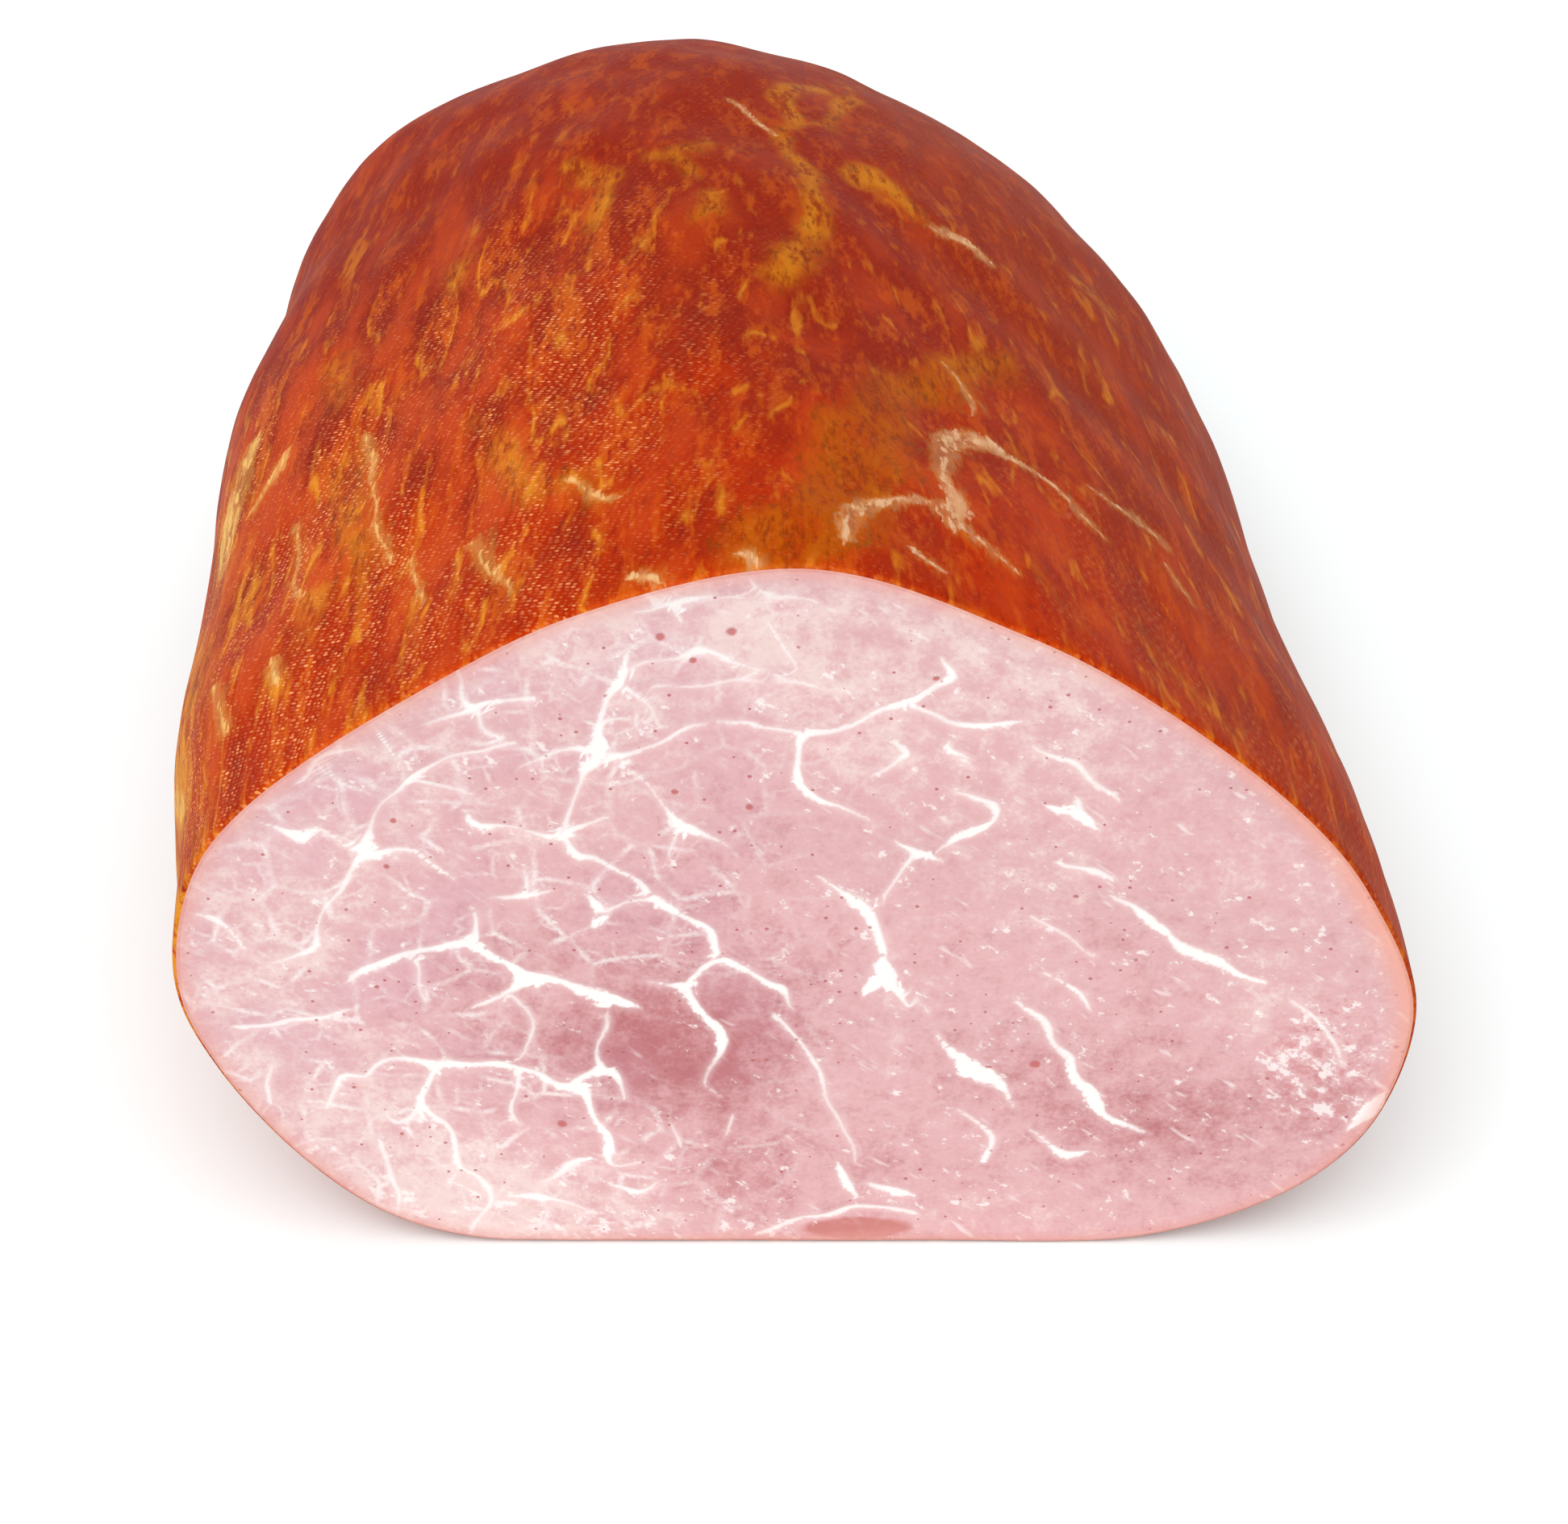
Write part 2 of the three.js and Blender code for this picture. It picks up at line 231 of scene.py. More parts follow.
# The rind: places are degrees round, from the right (0) over the top (90) to the left (180), and
# millimetres back from the cut, each with a width in millimetres.
rind = {
    "wobbleAround": [(0.7, 13, 21), (0.15, 4.5, 22)],  # height, size and seed
    "wobbleAlong": [(1, 15, 23), (0.15, 4.5, 24)],
    "amber": [
        [(92, 6, 16), (84, 12, 14), (82, 24, 12), (77, 42, 13), (71, 58, 12), (63, 68, 9), (56, 77, 7),
         (46, 86, 4)],
        [(84, 86, 7), (81, 95, 8), (78, 105, 6), (75, 117, 6), (73, 128, 5), (76, 138, 4), (74, 148, 4),
         (69, 157, 6), (71, 167, 9), (64, 176, 5), (52, 184, 4)],
        [(70, 156, 6), (62, 160, 6), (56, 168, 4), (46, 182, 4), (38, 196, 4)],
        [(119, 137, 3), (115, 130, 5), (110, 127, 6), (112, 118, 4), (112, 111, 6)],
        [(103, 131, 3), (98, 130, 5), (96, 124, 3)],
        [(99, 131, 4), (92, 136, 3)],
        [(93, 114, 3), (93, 107, 4)],
        [(63, 136, 5), (57, 138, 5), (51, 130, 3)],
        [(138, 115, 4), (138, 105, 3)],
        [(155, 104, 3), (153, 90, 3)],
        [(148, 36, 4), (148, 26, 3)],
        [(150, 70, 5), (146, 52, 4), (141, 30, 3)],
        [(128, 60, 3), (122, 44, 4), (118, 34, 3)],
        [(114, 34, 4), (110, 25, 3)],
        [(46, 20, 4), (42, 12, 3), (36, 7, 2)],
        [(61, 16, 3), (58, 8, 3)],
        [(18, 138, 4), (14, 135, 4)],
        [(176, 60, 6), (174, 36, 8), (170, 14, 6)],
    ],
    "pale": [
        [(71, 20, 2.4), (69, 27, 3.4), (70, 33, 2.4), (69, 39, 2.6), (66, 46, 3.6), (61, 52, 3.6),
         (57, 51, 2.2), (52, 47, 1.5), (48, 43, 1.1), (45, 40, 0.6)],
        [(69, 24, 1.8), (74, 24, 1.6), (78, 21, 1.6), (82, 17, 2.8), (84, 12, 2.2), (85, 7, 1.2)],
        [(77, 9, 1.6), (75, 6, 1)],
        [(72, 22, 1.4), (68, 18, 1), (65, 14, 0.6)],
        # this stroke is a painted glint, not fat
        [(49, 124, 1.8), (43, 125, 2.8), (39, 123, 1.4)],
        [(61, 74, 0.3), (58, 66, 0.7), (60, 60, 0.6)],
        [(178, 34, 4), (175, 26, 5), (170, 19, 3)],
        [(166.5, 97, 2.4), (167.5, 88, 5), (169, 78, 5.5), (169.5, 70, 3)],
        [(165, 75, 0.5), (162.5, 80, 1.2), (160, 85, 1.8)],
        [(148, 76, 0.6), (146, 68, 1.2), (144, 60, 0.7), (142, 52, 0.5), (141, 44, 0.9), (139, 36, 0.6)],
        [(155, 62, 0.7), (154, 50, 0.5), (151, 38, 0.6)],
        [(136, 34, 0.5), (134, 26, 0.7), (133, 20, 0.4)],
        [(127, 28, 0.8), (124, 22, 1.6), (122, 16, 1), (120, 11, 0.6)],
        [(114, 33, 0.9), (111, 27, 1.1), (107, 24, 0.7)],
        [(36, 53, 1.2), (32, 50, 1.2)],
        [(44, 53, 1), (36, 51, 1.2)],
        [(34, 44, 0.9), (32, 38, 1)],
        [(161, 30, 1), (158, 18, 1)],
        [(152, 26, 0.9), (151, 20, 0.9)],
        [(106, 3, 2), (104, 1.5, 1.4)],
        [(95, 3, 1.6), (94, 1.2, 1.6)],
        [(85, 160, 1.6), (80, 152, 1.8), (77, 146, 1.6)],
    ],
    "millimetresPerDegree": 1.3,
    "netPitch": (1.15, 0.62),  # between the knots of a row, and between the rows
    "netSlant": 30,
    "netElsewhere": 0.08,
    # Where the net has pressed, and where its knots get painted glints: degrees, along, reach both ways and
    # strength
    "netZones": [(142, 46, 42, 66, 0.92), (30, 10, 34, 40, 0.14)],
}


# Shapes

def deselectAll():
    for item in bpy.context.selected_objects:
        item.select_set(False)


def softStep(value, low, high):
    share = np.clip((value - low) / (high - low), 0, 1)
    return share * share * (3 - 2 * share)


# 1 in the middle, fading out over the reach both ways; a higher power makes the fade steeper.
def hump(across, up, middle, reach, power=2):
    return np.exp(-((across - middle[0]) / reach[0]) ** power - ((up - middle[1]) / reach[1]) ** power)


# The cut's outline, as a distance from the cut's middle for each angle.
def outlineRadius():
    corners = np.array(form["outline"]) * (form["cutWidth"] / 2, form["cutHeight"])
    count = len(corners)
    points = []
    for i in range(count):
        p0, p1, p2, p3 = (corners[(i + k) % count] for k in (-1, 0, 1, 2))
        t1 = np.sqrt(np.linalg.norm(p1 - p0))
        t2 = t1 + np.sqrt(np.linalg.norm(p2 - p1))
        t3 = t2 + np.sqrt(np.linalg.norm(p3 - p2))
        for t in np.linspace(t1, t2, 24, endpoint=False):
            a1 = (t1 - t) / t1 * p0 + t / t1 * p1
            a2 = (t2 - t) / (t2 - t1) * p1 + (t - t1) / (t2 - t1) * p2
            a3 = (t3 - t) / (t3 - t2) * p2 + (t - t2) / (t3 - t2) * p3
            b1 = (t2 - t) / t2 * a1 + t / t2 * a2
            b2 = (t3 - t) / (t3 - t1) * a2 + (t - t1) / (t3 - t1) * a3
            points.append((t2 - t) / (t2 - t1) * b1 + (t - t1) / (t2 - t1) * b2)
    points = np.array(points)
    z = np.maximum(points[:, 1], 0) - form["middleShare"] * form["cutHeight"]
    angle = np.arctan2(z, points[:, 0])
    order = np.argsort(angle)
    return angle[order], np.hypot(points[:, 0], z)[order]


# A smooth lumpy field, mostly between -1 and 1: a few crossed sine waves of about one size.
def wave3(x, y, z, size, seed):
    total = 0
    random = np.random.default_rng(seed)
    for _ in range(7):
        way = random.normal(size=3)
        way *= random.uniform(0.7, 1.4) * 2 * pi / size / np.linalg.norm(way)
        total = total + np.sin(x * way[0] + y * way[1] + z * way[2] + random.uniform(0, 2 * pi))
    return total / 3.2


# A measure made wavy by lumpy fields, each with a height, a size and a seed.
def wavy(measure, place, fields):
    for height, size, seed in fields:
        measure = measure + height * wave3(*place, size, seed)
    return measure


def skinRelief(degrees, along):
    out = np.zeros_like(along)
    for around, back, height, reachAround, reachAlong in form["swellings"]:
        turn = (degrees - around + 180) % 360 - 180
        out += height * hump(turn, along, (0, back), (reachAround, reachAlong))
    for height, turns, length, phase in form["waves"]:
        out += height * np.sin(turns * np.radians(degrees) + phase) * np.sin(2 * pi * along / length + phase)
    return out


def taper(share, start, blunt):
    return np.maximum(0, 1 - share ** start) ** (1 / blunt)


# How far the ham leans to the side at a share of its length.
def leanAt(share):
    return form["lean"] * share + form["leanReturn"] * share ** 2


# Where the skin runs at an angle of the cut's outline and a share of the length, pulled in by inset.
def skinPoint(turn, share, inset):
    outlineAngle, outlineReach = outlineRadius()
    radius = np.interp(turn, outlineAngle, outlineReach, period=2 * pi)
    height = form["cutHeight"]
    px = radius * np.cos(turn)
    pz = np.maximum(0, radius * np.sin(turn) + form["middleShare"] * height)
    along = share * form["length"]
    sag, pace = form["topSag"]
    kept = 1 - sag * np.sin(pi * np.minimum(share * pace, 1))
    top = form["tipHeight"] + (height - form["tipHeight"]) * taper(share, *form["topTaper"]) * kept
    back = np.maximum(0, (share - form["flatShare"]) / (1 - form["flatShare"]))
    bottom = form["tipHeight"] * (1 - taper(back, *form["undersideTaper"]))
    middle = bottom + (top - bottom) * form["middleShare"]
    x = px * taper(share, *form["sideTaper"])
    z = bottom + pz / height * (top - bottom)
    atCut, growth = form["reliefStart"]
    fade = np.minimum(1, (1 - share) * form["reliefEnd"]) * np.minimum(1, atCut + along / growth)
    out = skinRelief(np.degrees(turn) % 360, along)
    for lump, size, seed in form["lumps"]:
        lumpy = wave3(x, along * form["lumpPace"], z, size, seed)
        out += lump * lumpy * np.minimum(1, along / form["lumpStart"])
    reach = np.maximum(1, np.hypot(x, z - middle))
    push = (out * fade - inset) / reach
    return x * (1 + push) + leanAt(share), along, np.maximum(bottom, z + (z - middle) * push)


# A straight log of the ham's size with a gridded end: the grid is the cut face, its border is drawn out
# along the ham and cut into rings, and the far ring is drawn together.
def addLog():
    deselectAll()
    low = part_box("ham")[0]
    width, height, length = form["cutWidth"] * mm, form["cutHeight"] * mm, form["length"] * mm
    hair = 1e-5  # metres: less apart than this is level
    middle = (0, low.y, low.z + height / 2)
    bpy.ops.mesh.primitive_grid_add(x_subdivisions=form["gridAcross"], y_subdivisions=form["gridUp"],
                                    size=height, location=middle, rotation=(pi / 2, 0, 0))
    log = bpy.context.object
    log.name = "smokedHam"
    bpy.ops.object.transform_apply(location=True, rotation=True, scale=True)
    bpy.ops.object.mode_set(mode="EDIT")
    bpy.ops.mesh.select_mode(type="EDGE")
    bpy.ops.mesh.select_all(action="SELECT")
    bpy.ops.transform.resize(value=(width / height, 1, 1), center_override=middle)
    bpy.ops.mesh.select_all(action="DESELECT")
    bpy.ops.mesh.select_non_manifold()
    bpy.ops.mesh.extrude_region_move(TRANSFORM_OT_translate={"value": (0, length, 0)})
    for cuts in form["ringCuts"]:
        selectEdges(log, lambda a, b: abs(a.y - b.y) > hair)
        bpy.ops.mesh.subdivide(number_cuts=cuts)
    farEnd = low.y + length - hair
    selectEdges(log, lambda a, b: a.y > farEnd and b.y > farEnd)
    bpy.ops.mesh.merge(type="COLLAPSE")
    bpy.ops.mesh.select_all(action="SELECT")
    bpy.ops.mesh.normals_make_consistent(inside=False)
    bpy.ops.object.mode_set(mode="OBJECT")
    return log


def selectEdges(item, wanted):
    bpy.ops.mesh.select_all(action="DESELECT")
    bpy.ops.object.mode_set(mode="OBJECT")
    points = item.data.vertices
    for edge in item.data.edges:
        a, b = edge.vertices
        edge.select = wanted(points[a].co, points[b].co)
    bpy.ops.object.mode_set(mode="EDIT")


def readPoints(item):
    flat = np.empty(len(item.data.vertices) * 3, np.float32)
    item.data.vertices.foreach_get("co", flat)
    return flat.reshape(-1, 3).astype(float)


def writePoints(item, points):
    item.data.vertices.foreach_set("co", points.astype(np.float32).ravel())
    item.data.update()


def ringCount():
    first, second = form["ringCuts"]
    return (first + 1) * (second + 1)


# How far back each ring stands, and how far it is pulled in: a rounded cut edge, then steps that close up
# towards the tip.
def ringPlace(step):
    rounds = form["edgeRings"]
    bend = np.minimum(step / rounds, 1) * pi / 2
    edge = form["edgeRound"]
    first = edge / form["length"]
    later = 1 - (1 - np.clip((step - rounds) / (ringCount() - rounds), 0, 1)) ** form["ringCrowding"]
    share = np.where(step <= rounds, first * (1 - np.cos(bend)), first + (1 - first) * later)
    return share, edge * (1 - np.sin(bend))


# Each stroke as many short straight stretches with a width at both ends.
def stretches(strokes):
    starts = []
    ends = []
    for stroke in strokes:
        p = np.array(stroke, float)
        padded = np.vstack([2 * p[0] - p[1], p, 2 * p[-1] - p[-2]])
        line = []
        for i in range(1, len(padded) - 2):
            for t in np.linspace(0, 1, 5, endpoint=False):
                a, b, c, d = padded[i - 1:i + 3]
                line.append(0.5 * (2 * b + (c - a) * t + (2 * a - 5 * b + 4 * c - d) * t ** 2
                                   + (3 * b - a - 3 * c + d) * t ** 3))
        line.append(p[-1])
        starts += line[:-1]
        ends += line[1:]
    return np.array(starts), np.array(ends)


# For each point: the distance to the nearest stroke, the side it lies on, and the stroke's half width there.
def nearStrokes(x, z, strokes):
    best = np.full(len(x), 60.0)  # no stroke is seen from further away
    side = np.ones(len(x))
    width = np.full(len(x), 0.5)
    for a, b in zip(*stretches(strokes)):
        run = b[:2] - a[:2]
        length2 = max(run @ run, 1e-9)
        t = np.clip(((x - a[0]) * run[0] + (z - a[1]) * run[1]) / length2, 0, 1)
        dx = x - a[0] - t * run[0]
        dz = z - a[1] - t * run[1]
        distance = np.hypot(dx, dz)
        nearer = distance < best
        best = np.where(nearer, distance, best)
        side = np.where(nearer, np.sign(run[0] * dz - run[1] * dx), side)
        width = np.where(nearer, (a[2] + t * (b[2] - a[2])) / 2, width)
    return best, side, width


def addValues(item, name, values):
    layer = item.data.attributes.new(name, "FLOAT_VECTOR", "POINT")
    layer.data.foreach_set("vector", values.astype(np.float32).ravel())


# What the cut shows at each point: the nearest seam, how far the face sinks, how dark it is, and the lens.
def faceMarks(x, z):
    place = (x, 0, z)
    wobbledX = wavy(x, place, cutFace["wobbleAcross"])
    wobbledZ = wavy(z, place, cutFace["wobbleUp"])
    distance, side, width = nearStrokes(wobbledX, wobbledZ, cutFace["seams"])
    sink = cutFace["seamDepth"] * np.exp(-(distance / (width + cutFace["seamSoftness"])) ** 2)
    crumble = cutFace["crumble"]
    lumpy = crumble["lift"] + wave3(*place, *crumble["lumps"])
    sink += crumble["depth"] * hump(x, z, crumble["place"], crumble["reach"]) * lumpy
    sink = wavy(sink, place, cutFace["uneven"])
    tone = np.zeros_like(x)
    for middleX, middleZ, reachX, reachZ, amount in cutFace["tones"]:
        tone += amount * hump(x, z, (middleX, middleZ), (reachX, reachZ))
    (pocketX, pocketZ), (pocketWide, pocketHigh) = cutFace["pocket"].values()
    inPocket = 1 - np.hypot((x - pocketX) / pocketWide, (z - pocketZ) / pocketHigh)
    return np.stack([distance * side, distance, width], 1), sink, tone, inPocket


# What the rind shows at each point: the nearest fat, then the nearest amber, the net and the degrees round.
def rindMarks(x, y, z, share):
    middle = form["middleShare"] * form["cutHeight"]
    degrees = np.degrees(np.arctan2(z - middle, x - leanAt(share))) % 360
    degrees = np.where(degrees > 270, degrees - 360, degrees)
    scale = rind["millimetresPerDegree"]
    markX = wavy(degrees * scale, (x, y, z), rind["wobbleAround"])
    markY = wavy(y, (x, y, z), rind["wobbleAlong"])
    marks = []
    for name in ("amber", "pale"):
        strokes = [[(a * scale, b, w) for a, b, w in stroke] for stroke in rind[name]]
        marks += nearStrokes(markX, markY, strokes)
    amberAway, _, amberHalf, paleAway, paleSide, paleHalf = marks
    net = np.full_like(x, rind["netElsewhere"])
    for around, along, reachAround, reachAlong, strength in rind["netZones"]:
        net += strength * hump(degrees, y, (around, along), (reachAround, reachAlong), 4)
    fat = np.stack([paleAway * paleSide, paleAway, paleHalf], 1)
    return fat, np.stack([amberAway - amberHalf, np.minimum(1, net), degrees], 1)


def shapeHam():
    log = addLog()
    low, high = (np.array(corner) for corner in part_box("ham"))
    start = (readPoints(log) - (0, low[1], low[2])) / mm
    s = start[:, 0] / (form["cutWidth"] / 2)
    t = start[:, 2] / (form["cutHeight"] / 2) - 1
    rings = ringCount()
    step = np.round(start[:, 1] / form["length"] * rings)
    # The grid's oblong is spread into a disc, and the disc over the cut's outline
    discX = s * np.sqrt(1 - t * t / 2)
    discZ = t * np.sqrt(1 - s * s / 2)
    turn = np.arctan2(discZ, discX)
    spread = np.minimum(1, np.hypot(discX, discZ))
    share, inset = ringPlace(step)
    x, y, z = skinPoint(turn, share, inset)
    middle = form["middleShare"] * form["cutHeight"]
    onFace = step == 0
    isTip = step == rings
    x = np.where(onFace, x * spread, np.where(isTip, leanAt(1), x))
    z = np.where(onFace, middle + (z - middle) * spread, np.where(isTip, form["tipHeight"], z))
    border = np.where(onFace, (1 - spread) * np.interp(turn, *outlineRadius(), period=2 * pi), 0)

    seam, sink, tone, inPocket = faceMarks(x, z)
    depth = (cutFace["setBack"] + sink) * softStep(border, *cutFace["edgeFade"])
    y = np.where(onFace, np.maximum(0, depth), y)
    fatMark, rindMark = rindMarks(x, y, z, share)

    points = np.stack([x, y, z], 1)
    middleX = (points[:, 0].min() + points[:, 0].max()) / 2
    points[:, 0] = (points[:, 0] - middleX) * mm + (low[0] + high[0]) / 2
    points[:, 1] = points[:, 1] * mm + low[1]
    points[:, 2] = points[:, 2] * mm + low[2]
    writePoints(log, points)
    log["cutMiddle"] = float((low[0] + high[0]) / 2 - middleX * mm)

    addValues(log, "seam", seam)
    addValues(log, "face", np.stack([border, tone, inPocket], 1))
    addValues(log, "fatMark", fatMark)
    addValues(log, "rindMark", rindMark)
    addSkinMap(log, turn, y)
    return log


# The skin laid out flat in millimetres: round the cut's outline, and back from the cut.
def addSkinMap(item, turn, along):
    mesh = item.data
    angle, radius = outlineRadius()
    px, pz = radius * np.cos(angle), radius * np.sin(angle)
    stretch = np.hypot(np.diff(px, append=px[0]), np.diff(pz, append=pz[0]))
    walked = np.concatenate([[0], np.cumsum(stretch)])[:-1]
    around = np.interp(turn, angle, walked, period=2 * pi)
    whole = stretch.sum()
    corner = np.empty(len(mesh.loops), np.int32)
    mesh.loops.foreach_get("vertex_index", corner)
    u = around[corner]
    # Faces that cross the seam below count on past the whole way round
    starts = np.empty(len(mesh.polygons), np.int32)
    sizes = np.empty(len(mesh.polygons), np.int32)
    mesh.polygons.foreach_get("loop_start", starts)
    mesh.polygons.foreach_get("loop_total", sizes)
    owner = np.repeat(np.arange(len(starts)), sizes)
    highest = np.maximum.reduceat(u, starts)[owner]
    u = np.where(highest - u > whole / 2, u + whole, u)
    layer = mesh.uv_layers.new(name="skin")
    layer.data.foreach_set("uv", np.stack([u, along[corner]], 1).astype(np.float32).ravel())


# Materials

class Wire:
    # A socket that can stand in a Python sum: each sum adds its Math node
    def __init__(self, shader, socket):
        self.shader = shader
        self.socket = socket

    def sum(self, operation, *values):
        return self.shader.node("ShaderNodeMath", {"operation": operation}, dict(enumerate(values)))

    def __add__(self, other):
        return self.sum("ADD", self, other)

    __radd__ = __add__

    def __sub__(self, other):
        return self.sum("SUBTRACT", self, other)

    def __rsub__(self, other):
        return self.sum("SUBTRACT", other, self)

    def __mul__(self, other):
        return self.sum("MULTIPLY", self, other)

    __rmul__ = __mul__

    def __truediv__(self, other):
        return self.sum("DIVIDE", self, other)

    def __rtruediv__(self, other):
        return self.sum("DIVIDE", other, self)

    def __pow__(self, other):
        return self.sum("POWER", self, other)

    def __rpow__(self, other):
        return self.sum("POWER", other, self)

    def __abs__(self):
        return self.sum("ABSOLUTE", self)

    def most(self, other):
        return self.sum("MAXIMUM", self, other)

    def least(self, other):
        return self.sum("MINIMUM", self, other)

    # 0 below low, 1 above high, smooth between; low may be the larger one
    def between(self, low, high):
        return self.shader.node("ShaderNodeMapRange", {"interpolation_type": "SMOOTHSTEP"},
                                {"Value": self, "From Min": low, "From Max": high})


class Shader:
    def __init__(self, name):
        self.material = bpy.data.materials.new(name)
        self.material.use_nodes = True
        self.tree = self.material.node_tree
        self.surface = self.tree.nodes["Principled BSDF"]

    def node(self, kind, settings, values, out=0):
        made = self.tree.nodes.new(kind)
        for name, setting in settings.items():
            setattr(made, name, setting)
        for key, value in values.items():
            self.feed(made.inputs[key], value)
        return Wire(self, made.outputs[out])

    def feed(self, socket, value):
        if isinstance(value, Wire):
            self.tree.links.new(value.socket, socket)
        else:
            socket.default_value = value

    # Millimetres, counted across from the middle of the cut and up from where the ham rests, as the marks are
    def place(self, cutMiddle):
        metres = self.node("ShaderNodeTexCoord", {}, {}, "Object")
        return self.scaled(metres, (1 / mm,) * 3, (-cutMiddle / mm, 0, 0))

    def parts(self, vector):
        split = self.node("ShaderNodeSeparateXYZ", {}, {0: vector}).socket.node
        return [Wire(self, output) for output in split.outputs]

    def values(self, name):
        return self.parts(self.node("ShaderNodeAttribute", {"attribute_name": name}, {}, "Vector"))

    def flat(self, x, y):
        return self.node("ShaderNodeCombineXYZ", {}, {0: x, 1: y})

    def scaled(self, vector, scale, shift=(0, 0, 0)):
        return self.node("ShaderNodeMapping", {"vector_type": "POINT"},
                         {"Vector": vector, "Scale": scale, "Location": shift})

    # Marks of this length and width that lie at an angle in the flat
    def slanted(self, vector, degrees, length, width):
        turn = (0, 0, radians(degrees))
        return self.node("ShaderNodeMapping", {"vector_type": "TEXTURE"},
                         {"Vector": vector, "Rotation": turn, "Scale": (length, width, 1)})

    def noise(self, vector, scale, detail, roughness, flat=False, out="Fac"):
        return self.node("ShaderNodeTexNoise", {"noise_dimensions": "2D" if flat else "3D"},
                         {"Vector": vector, "Scale": scale, "Detail": detail, "Roughness": roughness}, out)

    # Noise with its own scale across, along and up
    def drawnOut(self, vector, scale, detail, roughness):
        return self.noise(self.scaled(vector, scale), 1.0, detail, roughness)

    def cells(self, vector, scale, feature="F1", scatter=1.0):
        return self.node("ShaderNodeTexVoronoi", {"feature": feature, "voronoi_dimensions": "2D"},
                         {"Vector": vector, "Scale": scale, "Randomness": scatter}, "Distance")

    # Each cell's own three random numbers
    def luck(self, distance):
        return self.parts(Wire(self, distance.socket.node.outputs["Color"]))

    # Round dots in some of the cells, each with its own size
    def dots(self, vector, scale, chance, radius):
        distance = self.cells(vector, scale)
        luck, size, _ = self.luck(distance)
        return (distance - size * radius).between(0.03, -0.03) * luck.between(chance + 0.01, chance)

    def mix(self, factor, first, second):
        return self.node("ShaderNodeMix", {"data_type": "RGBA"},
                         {0: factor, 6: self.colour(first), 7: self.colour(second)}, 2)

    def colour(self, value):
        return value if isinstance(value, Wire) else (*linear(value), 1)

    def add(self, first, second):
        return self.node("ShaderNodeVectorMath", {"operation": "ADD"}, {0: first, 1: second})

    def times(self, vector, scale):
        return self.node("ShaderNodeVectorMath", {"operation": "SCALE"}, {0: vector, "Scale": scale})

    def gap(self, first, second):
        return self.node("ShaderNodeVectorMath", {"operation": "DISTANCE"}, {0: first, 1: second}, "Value")

    def bump(self, height, distance):
        return self.node("ShaderNodeBump", {}, {"Height": height, "Distance": distance, "Strength": 1.0})

    def finish(self, values):
        for name, value in values.items():
            self.feed(self.surface.inputs[name], value)


# A colour as a picture shows it, 0 to 255, as the light values that a shader takes.
def linear(colour):
    shares = [c / 255 for c in colour]
    return tuple(c / 12.92 if c <= 0.04045 else ((c + 0.055) / 1.055) ** 2.4 for c in shares)


meat = {
    "pink": (214, 166, 168),
    "dark": (176, 102, 106),
    "pale": (227, 199, 195),
    "mauve": (209, 164, 176),
    "fat": (240, 234, 231),
    "fatEdge": (234, 210, 207),
    "hole": (182, 76, 74),
    # partly raw meat, partly painted shade between the crumbs
    "rawMeatAndShade": (192, 112, 112),
    "pocket": (190, 112, 104),
    "smoked": (216, 148, 140),
    "peach": (230, 160, 138),
    "rim": (196, 104, 52),
    "roughness": 0.44,
    "gloss": 0.25,
    "reliefDepth": 0.25,  # millimetres
    # Soft fields: scale per millimetre, detail and roughness of the noise
    "broad": (0.05, 2, 0.5),
    "cloud": (0.26, 4, 0.62),
    "grain": (1.25, 3, 0.66),
    "webWide": (0.16, 1, 0.5),
    "webWarp": (0.09, 1, 0.5),
    "webReach": 3.5,
    "webCells": (0.12, 0.28),  # wide ones and small ones, per millimetre
    # Slant in degrees, length and width
    "streaks": (-42, 7, 1.5),
    "crumbs": (-40, 2.8, 2.1),
    "pores": (0.5, 0.11, 0.13),  # places per millimetre, share of them that hold one, largest radius in places
    # Where each part of the cut begins and is fully reached, in millimetres
    "leftAcross": (16, -28),
    "mauveUp": (20, 50),
    "crumbyAcross": (14, -20),
    "crumbyUp": (24, 6),
    "peachAcross": (40, 84),
    "peachUp": (20, 60),
}


